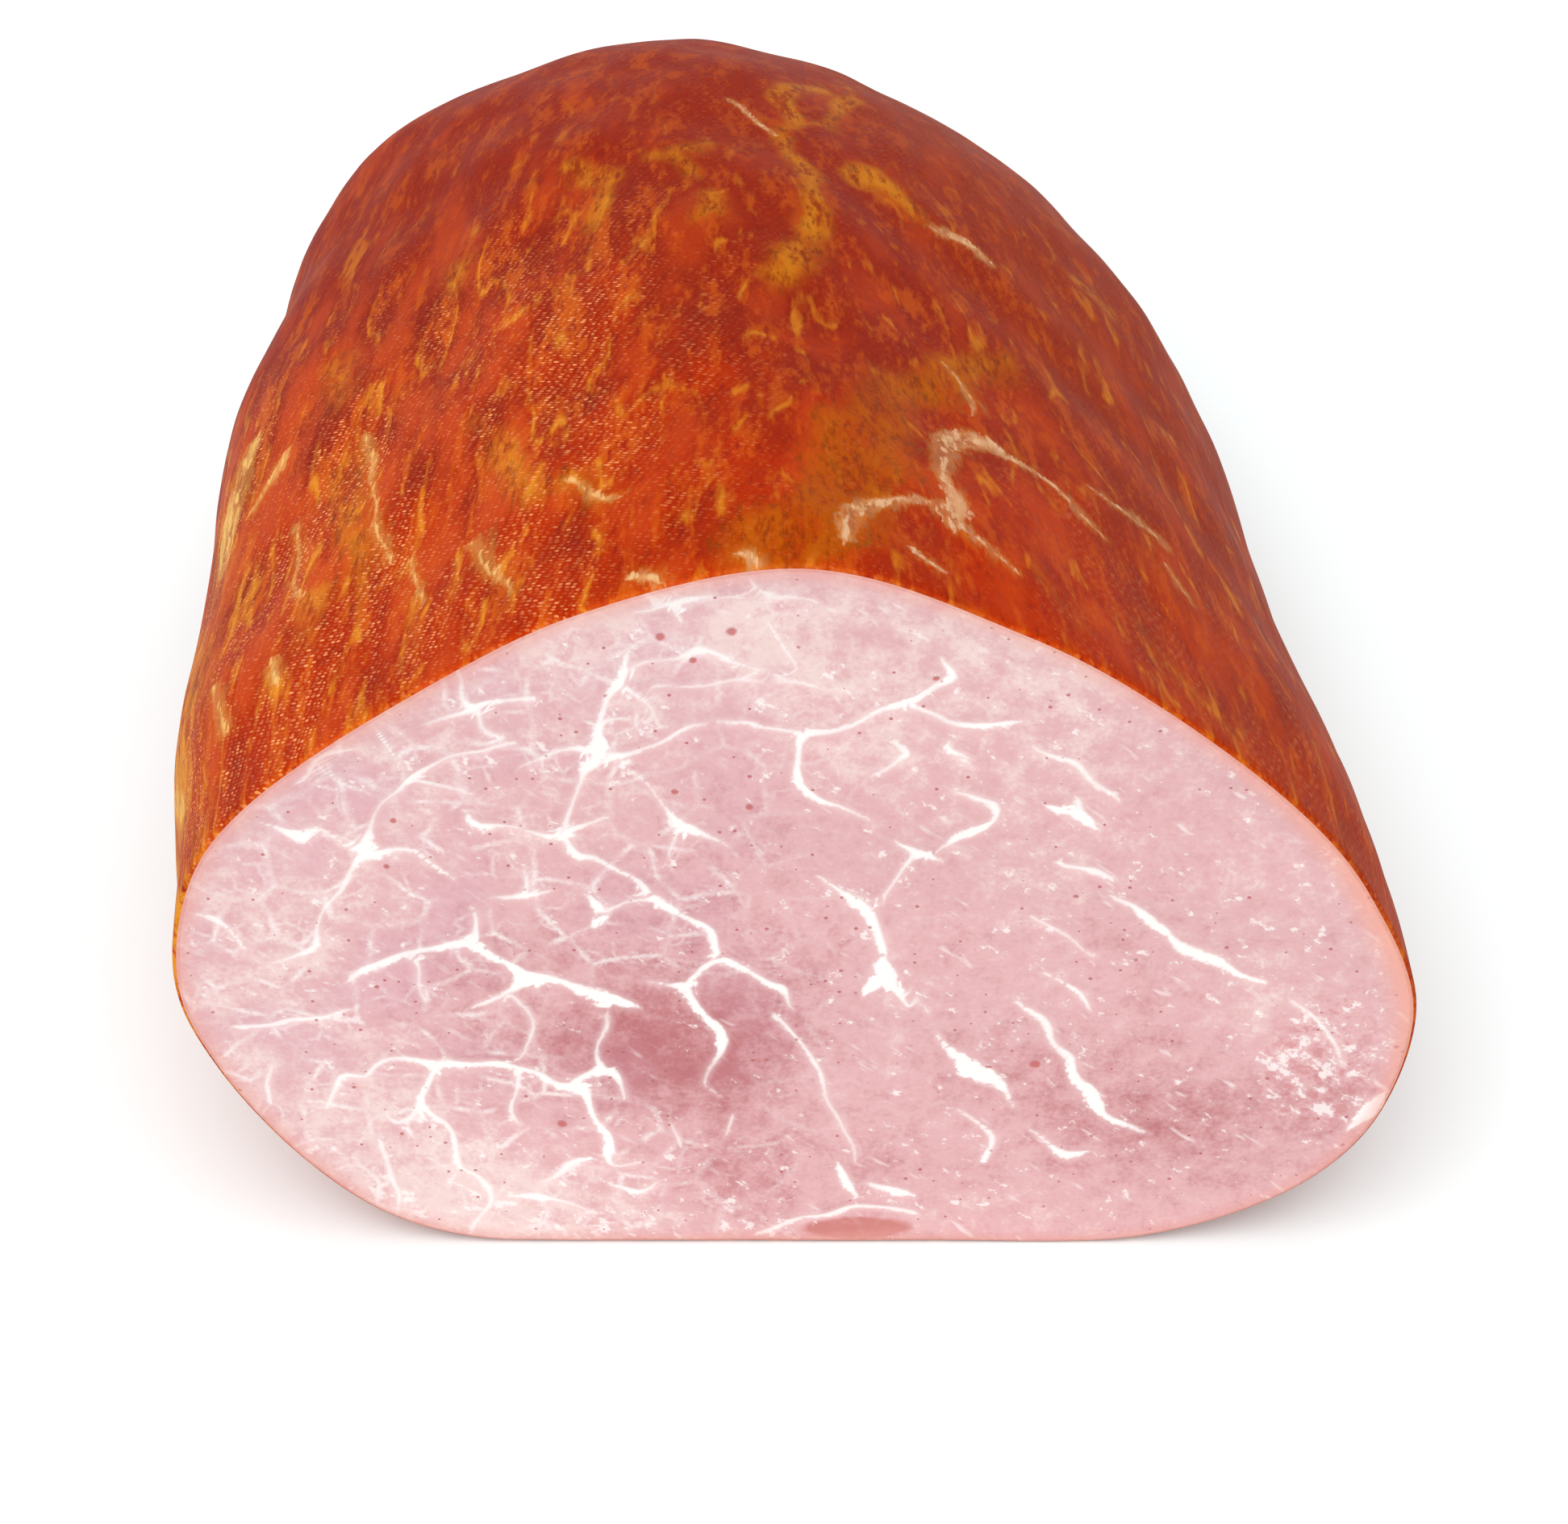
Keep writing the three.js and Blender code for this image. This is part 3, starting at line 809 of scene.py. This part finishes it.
def meatMaterial(cutMiddle):
    shader = Shader("cutMeat")
    x, _, z = shader.parts(shader.place(cutMiddle))
    spot = shader.flat(x, z)
    signed, distance, half = shader.values("seam")
    border, tone, pocket = shader.values("face")

    # Meat, lighter and darker in broad soft fields, with a fine grain
    broad, cloud, grain, webWide = (shader.noise(spot, *meat[name], flat=True)
                                    for name in ("broad", "cloud", "grain", "webWide"))
    depth = tone * 0.85 + (broad - 0.5) * 0.8 + (cloud - 0.5) * 1.3 + (grain - 0.5) * 0.6
    colour = shader.mix(depth.between(-0.05, 1.1), meat["pink"], meat["dark"])
    colour = shader.mix(depth.between(0, -0.65), colour, meat["pale"])
    left = x.between(*meat["leftAcross"])
    mauve = left * broad.between(0.44, 0.66) * z.between(*meat["mauveUp"])
    colour = shader.mix(mauve * 0.35, colour, meat["mauve"])

    # The lens of darker meat at the bottom
    inPocket = (pocket + (cloud - 0.5) * 0.3).between(0.0, 0.3)
    colour = shader.mix(inPocket * 0.9, colour, meat["pocket"])

    # Thin soft seams that net the meat, more of them on the left
    warp = shader.noise(spot, *meat["webWarp"], flat=True, out="Color")
    webPlace = shader.add(spot, shader.times(warp, meat["webReach"]))
    wide, small = (shader.cells(webPlace, scale, "DISTANCE_TO_EDGE") for scale in meat["webCells"])
    wideLine = (wide + (grain - 0.5) * 0.12).between(0.11, -0.01) * webWide.between(0.3, 0.62)
    smallLine = (small + (grain - 0.5) * 0.24).between(0.16, 0.0) * webWide.between(0.48, 0.66)
    fewer = (1 - tone.between(0.3, 0.85) * 0.9) * (0.3 + cloud.between(0.4, 0.6) * 0.7)
    webLine = (wideLine * (0.08 + left * 0.6)).most(smallLine * (0.05 + left * 0.3)) * fewer

    # Short streaks that lean down to the right
    streak = shader.noise(shader.slanted(spot, *meat["streaks"]), 1.0, 2, 0.5, flat=True).between(0.6, 0.8)
    streak = streak * webWide.between(0.46, 0.34) * (1 - left * 0.5)

    # Crumbs of fat: scattered, thick at the lower left, thickest in the crumbled patch at the right
    crumble = cutFace["crumble"]
    crumbs = shader.noise(shader.slanted(spot, *meat["crumbs"]), 1.0, 4, 0.66, flat=True)
    patchX = (x - crumble["place"][0]) / crumble["reach"][0]
    patchZ = (z - crumble["place"][1]) / crumble["reach"][1]
    inPatch = (patchX * patchX + patchZ * patchZ + (cloud - 0.5) * 2.2).between(1.5, 0.3)
    corner = z.between(*meat["crumbyUp"]) * x.between(*meat["crumbyAcross"])
    limit = 0.66 - webWide.between(0.44, 0.6) * 0.07 - inPatch * 0.11 - corner * 0.08
    limit = limit + tone.between(0.1, 0.8) * 0.04
    crumbled = (crumbs - limit).between(0.0, 0.12)
    # Between the crumbs a deeper red: partly raw meat, partly painted shade in the gaps
    shadedGaps = crumbs.between(0.47, 0.38) * (0.15 + inPatch * 0.85)

    lines = webLine.most(streak * 0.5).most(crumbled * 0.7)
    colour = shader.mix(shadedGaps * 0.5, colour, meat["rawMeatAndShade"])
    colour = shader.mix(lines, colour, meat["fat"])

    # The main seams: a soft paler edge, then the fat itself
    ragged = (grain - 0.5) * 1.5
    uneven = (cloud - 0.5) * 2
    ownHalf = (half * 0.88 - 0.1) * (1 + ragged * 0.8 + uneven * 1.2)
    narrow = abs(signed + ragged * 0.26 + uneven * 0.2) - ownHalf
    beside = distance - half
    halo = narrow.between(1.3, -0.2) * beside.between(1.3, 0.3)
    seam = narrow.between(0.34, -0.26) * beside.between(0.55, 0.2) * (0.36 + half * 0.95).least(0.96)
    colour = shader.mix(halo * 0.3, colour, meat["fatEdge"])
    colour = shader.mix(seam, colour, meat["fat"])

    # Small holes, a few large and many tiny
    pits = shader.dots(spot, *meat["pores"])
    for holeX, holeZ, radius in cutFace["holes"]:
        away = shader.gap(spot, (holeX, holeZ, 0)) + ragged * 0.3
        pits = pits.most(away.between(radius * 1.1, radius * 0.5))
    pits = pits * (1 - seam * 0.6)
    colour = shader.mix(pits * 0.78, colour, meat["hole"])

    # Smoke reaches in from the rind: a deeper pink, peach at the right, a thin broken line at the very edge
    colour = shader.mix((border + uneven * 1.5).between(3.0, 0.2) * 0.45, colour, meat["smoked"])
    right = x.between(*meat["peachAcross"]) * z.between(*meat["peachUp"])
    inward = border / (1.2 + right * 2.6 + uneven)
    colour = shader.mix(inward.between(1.3, 0.1) * (0.1 + right * 0.5), colour, meat["peach"])
    colour = shader.mix((border + ragged * 0.4).between(0.3, -0.1) * 0.35, colour, meat["rim"])

    height = grain * 0.3 + (crumbs - 0.5) * 0.5 + pits * -0.35
    rough = meat["roughness"] + (grain - 0.5) * 0.25
    shader.finish({"Base Color": colour, "Roughness": rough, "Specular IOR Level": meat["gloss"],
                   "Normal": shader.bump(height, meat["reliefDepth"] * mm)})
    return shader.material


skin = {
    "orange": (178, 45, 2),
    "brick": (146, 37, 15),
    "brown": (150, 50, 4),
    "dark": (122, 22, 12),
    "tan": (208, 94, 18),
    "salmon": (202, 74, 26),
    "amber": (176, 82, 2),
    "olive": (124, 58, 4),
    "gold": (236, 166, 40),
    "pale": (226, 186, 146),
    "butter": (246, 204, 112),
    # painted glint on the net's knots
    "knotGlint": (250, 166, 104),
    "rim": (222, 130, 46),
    "roughness": 0.5,
    "gloss": 0.015,
    "reliefDepth": 0.45,
    # Smoke patterns: scale per millimetre across, along and up, then detail and roughness of the noise
    "blotch": ((0.1, 0.055, 0.1), 4, 0.58),
    "fibre": ((0.3, 0.05, 0.3), 3, 0.6),
    "vein": ((0.15, 0.03, 0.15), 1, 0.5),
    "thin": ((0.95, 0.24, 0.95), 3, 0.68),
    # Degrees at which a side begins and is fully reached
    "leftRound": (85, 125),
    "rightRound": (70, 20),
}


def rindMaterial(cutMiddle):
    shader = Shader("smokedRind")
    place = shader.place(cutMiddle)
    around, along, _ = shader.parts(shader.node("ShaderNodeUVMap", {"uv_map": "skin"}, {}))
    signed, distance, half = shader.values("fatMark")
    amberAway, net, degrees = shader.values("rindMark")

    # Smoke colour: orange-red near the cut, brick towards the closed end, browner on the right, blotched
    # all over, but calmer on top, at the right and far back
    blotch, fibre, vein, thin = (shader.drawnOut(place, *skin[name])
                                 for name in ("blotch", "fibre", "vein", "thin"))
    leftSide = degrees.between(*skin["leftRound"])
    back = (along + (blotch - 0.5) * 200 - leftSide * 40).between(-10, 90)
    near = (0.35 + leftSide * 0.65) * (1 - along.between(80, 160) * 0.6)
    dark = (blotch * 0.75 + thin * 0.25).between(0.46, 0.7) * near
    tan = (fibre * 0.6 + thin * 0.4).between(0.48, 0.62) * (0.28 + near * 0.47)
    darkFine = (thin * 0.7 + fibre * 0.3).between(0.47, 0.35)
    salmon = (vein * 0.6 + blotch * 0.4).between(0.5, 0.36) * (0.12 + near * 0.5)
    colour = shader.mix(back, skin["orange"], skin["brick"])
    colour = shader.mix(degrees.between(*skin["rightRound"]) * 0.5, colour, skin["brown"])
    colour = shader.mix(dark * 0.5, colour, skin["dark"])
    colour = shader.mix(tan, colour, skin["tan"])
    colour = shader.mix(darkFine * 0.55, colour, skin["dark"])
    colour = shader.mix(salmon, colour, skin["salmon"])

    # Soft golden wisps that wander back from the cut
    wisp = abs(vein - 0.5 + (thin - 0.5) * 0.06).between(0.045, 0.0) * fibre.between(0.46, 0.66)
    colour = shader.mix(wisp * (0.2 + near * 0.3) * along.between(200, 90), colour, skin["gold"])

    # Ochre where fat lies under the skin, and pale fat where it shows; one pale stroke is a painted glint
    feather = (thin - 0.5) * 7 + (fibre - 0.5) * 7
    mottle = (fibre * 0.5 + thin * 0.5).between(0.4, 0.58)
    inAmber = (amberAway + feather * 1.3 + (blotch - 0.5) * 14 + (vein - 0.5) * 5).between(2.4, -2.4)
    colour = shader.mix(inAmber * (0.25 + mottle * 0.6) * (1 - leftSide * 0.7), colour, skin["amber"])
    colour = shader.mix(inAmber * thin.between(0.52, 0.36) * 0.5, colour, skin["olive"])
    golden = along.between(50, 110).most(leftSide)
    colour = shader.mix(inAmber * golden * mottle * 0.34, colour, skin["gold"])
    fat = abs(signed + feather * 0.3) - half * (0.6 + feather * 0.5)
    beside = distance - half
    glow = (beside + feather * 1.2).between(1.6, -0.8)
    film = (beside + feather * 0.7).between(0.8, -0.7) * (0.12 + fibre.between(0.4, 0.6) * 0.4)
    inFat = fat.between(0.4, -0.4) * beside.between(1.2, 0.5) * thin.between(0.34, 0.64) * 0.8
    colour = shader.mix(glow * (0.12 + mottle * 0.3), colour, skin["gold"])
    colour = shader.mix(inFat.most(film), colour, shader.mix(leftSide * 0.75, skin["pale"], skin["butter"]))

    # The net's imprint: slanting rows of short knots, each with a painted glint as strong as chance has it,
    # and pressed deeper, with stronger painted glints, in some places than in others
    sway = (vein - 0.5) * 3
    swayed = shader.flat(around + sway, along + sway)
    knotAway = shader.cells(shader.slanted(swayed, rind["netSlant"], *rind["netPitch"]), 1.0, scatter=0.5)
    luck, size, _ = shader.luck(knotAway)
    pressedAndGlinting = net * (0.35 + vein.between(0.4, 0.62) * 0.8)
    knotGlints = (knotAway - size * 0.16).between(0.3, 0.12) * pressedAndGlinting
    knotGlints = knotGlints * (0.12 + luck ** 3 * 0.9) * (0.4 + thin * 1.2)
    colour = shader.mix(knotGlints.least(0.95), colour, skin["knotGlint"])

    # A golden tinge low on the left that fades out underneath, and a brighter edge where the knife went through
    low = degrees.between(158, 172) * degrees.between(206, 176) * along.between(105, 10) * mottle
    colour = shader.mix(low * 0.6, colour, skin["gold"])
    edge = along.between(0.7, 0.1) * mottle
    colour = shader.mix(edge * 0.2, colour, skin["rim"])

    height = knotGlints * 0.13 + thin * 0.5
    rough = skin["roughness"] + (thin - 0.5) * 0.3 - knotGlints * 0.15
    shader.finish({"Base Color": colour, "Roughness": rough, "Specular IOR Level": skin["gloss"],
                   "Normal": shader.bump(height, skin["reliefDepth"] * mm)})
    return shader.material


# The camera stands where the photo was taken from, in millimetres from the middle of the cut's resting edge.
camera = {"place": (-1.54, -317.47, 392.69), "down": 43, "lens": 78.08, "sensor": 36}


def addCamera(cutMiddle, cutPlane):
    data = bpy.data.cameras.new("camera")
    data.lens = camera["lens"]
    data.sensor_width = camera["sensor"]
    eye = bpy.data.objects.new("camera", data)
    x, y, z = (v * mm for v in camera["place"])
    eye.location = (x + cutMiddle, y + cutPlane, z)
    eye.rotation_euler = (radians(90 - camera["down"]), 0, 0)
    bpy.context.collection.objects.link(eye)
    bpy.context.scene.camera = eye


studio = {
    "floor": (244, 250, 250),  # a little cool, against the ham's red glow
    "floorSize": 12,
    "floorGap": 0.0002,  # metres under the ham
    "world": 0.3,
    "lamps": [
        # name, where its light comes from, softness in degrees, strength
        ("leftLamp", (-0.5, -0.75, 1), 60, 1.6),
        ("rightLamp", (0.55, -0.7, 1), 60, 0.95),
        ("topLamp", (-0.1, -0.1, 1), 60, 1.1),
    ],
}


def addStudio():
    deselectAll()
    bpy.ops.mesh.primitive_plane_add(size=studio["floorSize"], location=(0, 0, -studio["floorGap"]))
    floor = bpy.context.object
    floor.name = "floor"
    shader = Shader("paleFloor")
    shader.finish({"Base Color": (*linear(studio["floor"]), 1), "Roughness": 0.9, "Specular IOR Level": 0.1})
    floor.data.materials.append(shader.material)
    world = bpy.data.worlds.new("studio")
    world.use_nodes = True
    background = world.node_tree.nodes["Background"]
    background.inputs["Color"].default_value = (1, 1, 1, 1)
    background.inputs["Strength"].default_value = studio["world"]
    bpy.context.scene.world = world
    for name, source, softness, strength in studio["lamps"]:
        data = bpy.data.lights.new(name, "SUN")
        data.angle = radians(softness)
        data.energy = strength
        lamp = bpy.data.objects.new(name, data)
        lamp.location = source
        lamp.rotation_euler = Vector(source).to_track_quat("Z", "Y").to_euler()
        bpy.context.collection.objects.link(lamp)
    bpy.context.scene.view_settings.view_transform = "Standard"


ham = shapeHam()
print("ham shaped,", len(ham.data.polygons), "faces")

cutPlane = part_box("ham")[0].y
ham.data.materials.append(rindMaterial(ham["cutMiddle"]))
ham.data.materials.append(meatMaterial(ham["cutMiddle"]))
faceLimit = cutFace["depthLimit"] * mm + cutPlane
for polygon in ham.data.polygons:
    facesFront = polygon.normal.y < -0.9
    polygon.material_index = 1 if facesFront and polygon.center.y < faceLimit else 0
deselectAll()
ham.select_set(True)
bpy.context.view_layer.objects.active = ham
bpy.ops.object.shade_smooth()
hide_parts("ham")
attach(ham, "root")
print("rind and meat finished")

addCamera(ham["cutMiddle"], cutPlane)
addStudio()
print("camera and lamps placed")
